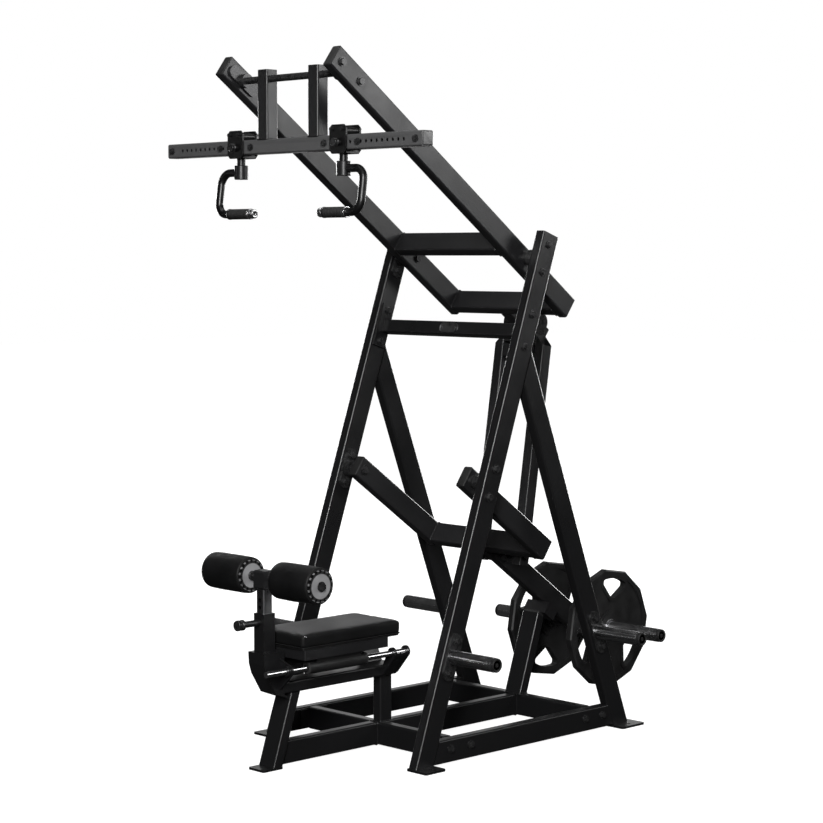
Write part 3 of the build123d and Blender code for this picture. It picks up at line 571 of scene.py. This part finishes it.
def frame_welds(materials):
    """Beads at both ends of the seat's post, the rest post's foot and the centre tubes' ends."""
    bm = bmesh.new()
    rail_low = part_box("seat_rail")[0][2]
    base_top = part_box("base_cross_tubes")[1][2]
    post_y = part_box("seat_supports")[1][1] - SEAT_POST_DEEP / 2
    for height in (rail_low, base_top):
        tube_end_bead(bm, Matrix.Translation((0, post_y, height)), TUBE_WIDE, SEAT_POST_DEEP)
    deep = TUBE_WIDE / math.cos(math.radians(POST_LEAN))
    foot = Matrix.Translation((0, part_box("rest_post")[0][1] + deep / 2, base_top))
    tube_end_bead(bm, foot, TUBE_DEEP, deep)
    for y in cross_faces():
        matrix = Matrix.Translation((0, y, base_top - TUBE_DEEP / 2)) @ Matrix.Rotation(math.pi / 2, 4, "X")
        tube_end_bead(bm, matrix, TUBE_WIDE, TUBE_DEEP)
    piece("frame_welds", bm, materials["frame_black"], "frame")


def cross_faces():
    """Y of the cross tubes' faces that the centre tubes are welded to. End plates start before the tube."""
    plate_before = 0.057
    front_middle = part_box("base_cross_tubes")[0][1] + plate_before
    spine_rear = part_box("base_spine")[1][1]
    return (front_middle - TUBE_WIDE / 2, front_middle + TUBE_WIDE / 2, spine_rear)


# ------------------------------------------------------------------ end caps and trim
def plug(bm, matrix, wide, deep, corner, rise=0.0022):
    """Shallow domed plug that closes a tube's end. Z points out of the tube."""
    loops = []
    for inset, height in ((0.0012, 0.0), (0.0014, rise * 0.55), (0.003, rise * 0.9), (0.006, rise)):
        outline = rounded_outline(wide - 2 * inset, deep - 2 * inset, max(corner - inset, 0.001))
        loops.append([bm.verts.new(matrix @ Vector((x, y, height))) for x, y in outline])
    for low, high in zip(loops, loops[1:]):
        for index in range(len(low)):
            after = (index + 1) % len(low)
            bm.faces.new((low[index], low[after], high[after], high[index]))
    bm.faces.new(loops[-1])
    bm.faces.new(list(reversed(loops[0])))


def rail_plugs(materials):
    """Plugs in both ends of the arms' rails and of the handle beam."""
    rail_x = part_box("upper_rails")[1][0] - TUBE_WIDE / 2
    for node, angle, body in (
        ("upper_rails", UPPER_SLOPE, "upper_arm"),
        ("lower_rails", LOWER_SLOPE, "lower_arm"),
    ):
        low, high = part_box(node)
        run = Vector((0, math.cos(math.radians(angle)), math.sin(math.radians(angle))))
        middle = middle_of(node)
        half = length_of(low, high, angle) / 2
        bm = bmesh.new()
        for sign_x in (-1, 1):
            for sign in (-1, 1):
                centre = Vector((sign_x * rail_x, middle.y, middle.z)) + run * half * sign
                matrix = slope_matrix(centre, angle)
                if sign < 0:
                    matrix = matrix @ Matrix.Rotation(math.pi, 4, "X")
                plug(bm, matrix, TUBE_WIDE, TUBE_DEEP, TUBE_CORNER)
        piece(node.replace("rails", "rail_plugs"), bm, materials["cap_black"], body)
    end_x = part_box("handle_beam")[1][0]
    centre = middle_of("handle_beam")
    bm = bmesh.new()
    for sign in (-1, 1):
        end = Vector((sign * end_x, centre.y, centre.z))
        plug(bm, along_axis(end, (sign, 0, 0)), BEAM_SIDE, BEAM_SIDE, TUBE_CORNER)
    piece("beam_plugs", bm, materials["beam_grey"], "handle_yoke")


def length_of(low, high, angle):
    """Length of an inclined tube of the rail section, from its box."""
    turn = math.radians(abs(angle))
    return (high[2] - low[2] - TUBE_DEEP * math.cos(turn)) / math.sin(turn)


def horn_details(materials):
    """A dished face on the end cap of each storage horn and each plate horn."""
    bm = bmesh.new()
    for centre, sign in storage_ends():
        cap_face(bm, centre, sign)
    piece("storage_cap_faces", bm, materials["cap_black"], "frame")
    bm = bmesh.new()
    end_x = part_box("plate_horn_collars")[1][0]
    centre = middle_of("plate_horn_collars")
    for sign in (-1, 1):
        cap_face(bm, Vector((sign * end_x, centre.y, centre.z)), sign)
    piece("plate_horn_cap_faces", bm, materials["cap_black"], "lower_arm")


def cap_face(bm, centre, sign):
    """Raised rim, dish and middle button on the end of a 48 mm cap."""
    profile = [(0.0001, 0.0012), (0.006, 0.0012), (0.0075, 0.0), (0.016, 0.0), (0.018, 0.0022)]
    profile += arc_points((0.0205, 0.0008), 0.0022, 130, 0, 5)
    profile += [(0.0225, -0.0004), (0.0001, -0.0004)]
    lathe(bm, profile, along_axis(centre, (sign, 0, 0)), 40)


def storage_ends():
    """Outer end of each of the four storage horns, with its side."""
    end_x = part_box("storage_horn_fittings")[1][0]
    ends = []
    for mount in frame["record"]["mounts"]:
        if "storage_horn" in mount["name"]:
            sign = 1 if mount["pos_m"][0] > 0 else -1
            ends.append((Vector((sign * end_x, mount["pos_m"][1], mount["pos_m"][2])), sign))
    return ends


def plate_bushes(materials):
    """A steel bush round each plate's bore, with a lip on both faces."""
    for side in ("right", "left"):
        low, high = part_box("weight_plate_" + side)
        hub_y, hub_z = horn_line()
        bm = bmesh.new()
        for x, sign in ((low[0], -1), (high[0], 1)):
            profile = [(0.0255, -0.004), (0.0255, 0.0006), (0.0262, 0.0011), (0.0325, 0.0011)]
            profile += [(0.0332, 0.0005), (0.0332, -0.004)]
            lathe(bm, profile, along_axis((x, hub_y, hub_z), (sign, 0, 0)), 56)
        piece("plate_bush_" + side, bm, materials["post_steel"], side + "_plate")


def horn_line():
    """Y and Z of the plate horn's axis."""
    for mount in frame["record"]["mounts"]:
        if mount["name"] == "right_plate_horn":
            return mount["pos_m"][1], mount["pos_m"][2]


def badge_rivets(materials):
    """A domed rivet at each end of the blank badge."""
    centre = middle_of("badge_plate")
    lean = math.radians(LEG_LEAN)
    normal = Vector((0, -math.cos(lean), math.sin(lean)))
    rivet_x, rivet_r, sunk = 0.032, 0.0022, 0.0004
    bm = bmesh.new()
    for sign in (-1, 1):
        foot = centre + Vector((sign * rivet_x, 0, 0)) - normal * sunk
        profile = [(rivet_r, 0.0)] + arc_points((0.0, 0.0), rivet_r, 20, 88, 5)
        lathe(bm, profile, along_axis(foot, normal), 20, closed=False)
    piece("badge_rivets", bm, materials["chrome"], "frame")


# ------------------------------------------------------------------ grips
def grips(materials):
    """Ribbed rubber sleeves between two chrome rings, and a chrome sleeve on the handle's free end."""
    for side, sign in (("right", 1), ("left", -1)):
        low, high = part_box("grip_" + side)
        centre = middle_of("grip_" + side)
        half = (high[0] - low[0]) / 2
        matrix = along_axis(centre, (sign, 0, 0))
        ring_long, ring_round = 0.007, 0.0015
        body_half = half - ring_long
        profile = [(GRIP_BORE_R, -body_half), (GRIP_R, -body_half)]
        ribs, plain, groove, rib_rise = 17, 0.004, 0.0014, 0.0008
        for rib in range(ribs):
            start = -body_half + plain + (2 * body_half - 2 * plain) * rib / ribs
            pitch = (2 * body_half - 2 * plain) / ribs
            for share, rise in ((0.0, 0.0), (0.15, rib_rise), (0.65, rib_rise), (0.8, 0.0)):
                profile.append((GRIP_R - groove + rise, start + pitch * share))
        profile += [(GRIP_R, body_half), (GRIP_BORE_R, body_half)]
        bm = bmesh.new()
        lathe(bm, profile, matrix, 56)
        grip = piece("rubber_grip_" + side, bm, materials["grip_rubber"], side + "_handle")
        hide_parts("grip_" + side)
        bm = bmesh.new()
        for end in (-1, 1):
            start = end * (body_half + ring_long / 2)
            arc_x = GRIP_R - ring_round
            rim = [(GRIP_BORE_R, start - ring_long / 2)]
            rim += arc_points((arc_x, start - ring_long / 2 + ring_round), ring_round, -90, 0, 4)
            rim += arc_points((arc_x, start + ring_long / 2 - ring_round), ring_round, 0, 90, 4)
            rim += [(GRIP_BORE_R, start + ring_long / 2)]
            lathe(bm, rim, matrix, 56)
        lathe(bm, end_sleeve(half), matrix, 56)
        piece("grip_rings_" + side, bm, materials["chrome"], side + "_handle")


def end_sleeve(half):
    """Profile of the chrome cap over the handle tube's free end, which stands out of the grip."""
    start, end = -half, -half - SLEEVE_LONG
    edge_wide, edge_long, axis_r = 0.003, 0.005, 0.0002
    profile = [(GRIP_BORE_R, start), (SLEEVE_R, start), (SLEEVE_R, end + edge_wide)]
    for degrees in (20, 40, 60, 75, 90):
        turn = math.radians(degrees)
        radius = SLEEVE_R - edge_wide * (1 - math.cos(turn))
        profile.append((radius, end + edge_wide - edge_long * math.sin(turn)))
    return profile + [(axis_r, end - 0.0024), (axis_r, end), (GRIP_BORE_R, end)]


# ------------------------------------------------------------------ thigh rollers
def rollers(materials):
    """Foam rollers in a tight skin: rounded shoulders, a slight barrel and a sewn seam at each end."""
    for side in ("right", "left"):
        low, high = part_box("roller_" + side)
        centre = middle_of("roller_" + side)
        half = (high[0] - low[0]) / 2
        radius = (high[2] - low[2]) / 2
        bore, recess_r, lip_r, recess = 0.0116, 0.052, 0.0535, 0.001
        shoulder = 0.008
        barrel = 0.0012
        profile = [(bore, -half + recess), (recess_r, -half + recess), (lip_r, -half)]
        profile += arc_points((radius - shoulder - barrel, -half + shoulder), shoulder, -90, -4, 7)
        for step in range(1, 24):
            share = -1 + 2 * step / 24
            waist = barrel * (1 - share ** 4)
            profile.append((radius - barrel + waist, share * (half - shoulder)))
        profile += arc_points((radius - shoulder - barrel, half - shoulder), shoulder, 4, 90, 7)
        profile += [(lip_r, half), (recess_r, half - recess), (bore, half - recess)]
        bm = bmesh.new()
        lathe(bm, profile, along_axis(centre, (1, 0, 0)), 96)
        for vert in bm.verts:
            out = Vector((0, vert.co.y - centre.y, vert.co.z - centre.z))
            if out.length > radius - 2 * shoulder:
                swell = noise.noise(vert.co * 28.0) * 0.0007
                vert.co += out.normalized() * (swell - 0.0004)
        foam = piece("foam_roller_" + side, bm, materials["foam_black"], side + "_roller")
        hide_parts("roller_" + side)
        bm = bmesh.new()
        for end in (-1, 1):
            seam_x = centre.x + end * (half - shoulder * 0.3)
            loop = []
            for step in range(120):
                turn = 2 * math.pi * step / 120
                reach = radius - barrel - shoulder * 0.29 + 0.0004
                loop.append((seam_x, centre.y + reach * math.cos(turn), centre.z + reach * math.sin(turn)))
            bead(bm, loop, 0.0009, 0.004)
        piece("roller_seams_" + side, bm, materials["foam_black"], side + "_roller")


# ------------------------------------------------------------------ seat
def rounded_box(bm, low, high, corners, cuts):
    """Closed box in layers, with its own corner radius at the front and the rear."""
    front, rear = corners
    x0, y0, z0 = low
    x1, y1, z1 = high
    outline = arc_points((x1 - rear, y1 - rear), rear, 0, 90, 9)
    outline += arc_points((x0 + rear, y1 - rear), rear, 90, 180, 9)
    outline += arc_points((x0 + front, y0 + front), front, 180, 270, 5)
    outline += arc_points((x1 - front, y0 + front), front, 270, 360, 5)
    rings = []
    for step in range(cuts + 1):
        height = z0 + (z1 - z0) * step / cuts
        rings.append([bm.verts.new((x, y, height)) for x, y in outline])
    for below, above in zip(rings, rings[1:]):
        for index in range(len(outline)):
            after = (index + 1) % len(outline)
            bm.faces.new((below[index], below[after], above[after], above[index]))
    bm.faces.new(list(reversed(rings[0])))
    bm.faces.new(rings[-1])
    return outline


def apply_modifiers(obj):
    """Replaces the object's mesh with what its modifiers make of it."""
    depsgraph = bpy.context.evaluated_depsgraph_get()
    mesh = bpy.data.meshes.new_from_object(obj.evaluated_get(depsgraph))
    old = obj.data
    obj.modifiers.clear()
    obj.data = mesh
    bpy.data.meshes.remove(old)


def inflate(obj, start, cap):
    """Cloth under pressure over frames 1 to 20, applied, with each point's travel capped."""
    cloth = obj.modifiers.new("cloth", "CLOTH")
    cloth.settings.use_pressure = True
    cloth.settings.uniform_pressure_force = 4.0
    cloth.settings.quality = 6
    cloth.settings.tension_stiffness = 40
    cloth.settings.compression_stiffness = 40
    cloth.settings.effector_weights.gravity = 0.0
    cloth.collision_settings.use_collision = False
    for number in range(1, 21):
        scene.frame_set(number)
    apply_modifiers(obj)
    scene.frame_set(1)
    for vert, rest in zip(obj.data.vertices, start):
        move = vert.co - rest
        if move.length > cap:
            vert.co = rest + move.normalized() * cap


def seat_pad(materials):
    """Vinyl seat pad: crowned top, sides that pull in a little, a flat underside on its board."""
    low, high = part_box("seat_pad")
    shrink = 0.004
    board = 0.008
    top_room = 0.005
    corner = 0.011
    bm = bmesh.new()
    inner_low = (low[0] + shrink, low[1] + shrink, low[2] + board)
    inner_high = (high[0] - shrink, high[1] - shrink, high[2] - top_room)
    rounded_box(bm, inner_low, inner_high, (corner, corner), 6)
    mesh = bpy.data.meshes.new("seat_cushion")
    bm.to_mesh(mesh)
    bm.free()
    pad = bpy.data.objects.new("seat_cushion", mesh)
    scene.collection.objects.link(pad)
    bevel = pad.modifiers.new("bevel", "BEVEL")
    bevel.width = 0.005
    bevel.segments = 4
    bevel.limit_method = "ANGLE"
    bevel.angle_limit = math.radians(50)
    remesh = pad.modifiers.new("remesh", "REMESH")
    remesh.mode = "VOXEL"
    remesh.voxel_size = 0.005
    apply_modifiers(pad)
    start = [vert.co.copy() for vert in pad.data.vertices]
    cap = 0.004
    inflate(pad, start, cap)
    floor_z = low[2] + board
    crown = high[2] - 0.001
    for vert in pad.data.vertices:
        vert.co.z = max(vert.co.z, floor_z)
        share = (vert.co.z - floor_z) / (crown - floor_z)
        across = (vert.co.x - low[0]) / (high[0] - low[0]) * 2 - 1
        along = (vert.co.y - low[1]) / (high[1] - low[1]) * 2 - 1
        dome = max(0.0, (1 - across ** 4) * (1 - along ** 8))
        vert.co.z += 0.0045 * dome * max(0.0, share) - 0.0012 * share
        tuck = 0.0015 * (1 - max(0.0, share)) ** 2
        vert.co.x -= math.copysign(tuck, across) * abs(across) ** 3
        vert.co.y -= math.copysign(tuck, along) * abs(along) ** 9
    smooth = pad.modifiers.new("smooth", "SMOOTH")
    smooth.factor = 0.5
    smooth.iterations = 3
    subdivide = pad.modifiers.new("subdivide", "SUBSURF")
    subdivide.levels = 1
    subdivide.render_levels = 1
    apply_modifiers(pad)
    for polygon in pad.data.polygons:
        polygon.use_smooth = True
    pad.data.materials.clear()
    pad.data.materials.append(materials["pad_black"])
    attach(pad, "seat")
    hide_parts("seat_pad")
    seat_trim(materials, low, high, board)


def seat_trim(materials, low, high, board):
    """Board under the cushion, a welt round the cushion's foot and a stud near each front corner."""
    bm = bmesh.new()
    inset, corner = 0.010, 0.010
    board_low = (low[0] + inset, low[1] + inset, low[2])
    board_high = (high[0] - inset, high[1] - inset, low[2] + board - 0.0005)
    rounded_box(bm, board_low, board_high, (corner, corner), 2)
    bmesh.ops.bevel(
        bm, geom=[edge for edge in bm.edges if edge.calc_face_angle(0) > 1.2],
        offset=0.0015, segments=2, affect="EDGES", profile=0.5
    )
    piece("seat_board", bm, materials["cap_black"], "seat")
    bm = bmesh.new()
    inset, corner = 0.007, 0.012
    guide_low = (low[0] + inset, low[1] + inset, 0)
    guide_high = (high[0] - inset, high[1] - inset, 1)
    outline = rounded_box(bmesh.new(), guide_low, guide_high, (corner, corner), 1)
    bead(bm, [(x, y, low[2] + board) for x, y in outline], 0.0021, 0.006)
    piece("seat_welt", bm, materials["pad_black"], "seat")
    bm = bmesh.new()
    stud_r = 0.0034
    for sign in (-1, 1):
        foot = Vector((sign * (high[0] - 0.0035), low[1] + 0.012, high[2] - 0.008))
        profile = [(stud_r, -0.001)] + arc_points((0.0, 0.0), stud_r, 10, 88, 5)
        lathe(bm, profile, along_axis(foot, (sign, 0, 0)), 24, closed=False)
    piece("seat_studs", bm, materials["chrome"], "seat")


def bearing_seals(materials):
    """Lipped seals on both ends of the two linear bearings under the seat."""
    low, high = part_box("seat_bearings")
    rod_low, rod_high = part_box("seat_guide_rods")
    rod_x = rod_high[0] - ROD_R
    rod_z = (rod_low[2] + rod_high[2]) / 2
    bm = bmesh.new()
    for side in (-1, 1):
        for y, end in ((low[1], -1), (high[1], 1)):
            profile = [(0.0108, 0.003), (0.0125, 0.0045), (0.0185, 0.0045)]
            profile += arc_points((0.0195, 0.0022), 0.0022, 80, 0, 4)
            profile += [(0.0217, -0.0005), (0.0108, -0.0005)]
            lathe(bm, profile, along_axis((side * rod_x, y, rod_z), (0, end, 0)), 44)
    piece("bearing_seals", bm, materials["stop_rubber"], "seat")


# ------------------------------------------------------------------ build
make_camera()
make_world()
make_floor()
make_lights()
materials = make_materials()
paint_nodes(materials)
arm_welds(materials)
yoke_welds(materials)
frame_welds(materials)
rail_plugs(materials)
horn_details(materials)
plate_bushes(materials)
badge_rivets(materials)
grips(materials)
rollers(materials)
seat_pad(materials)
bearing_seals(materials)
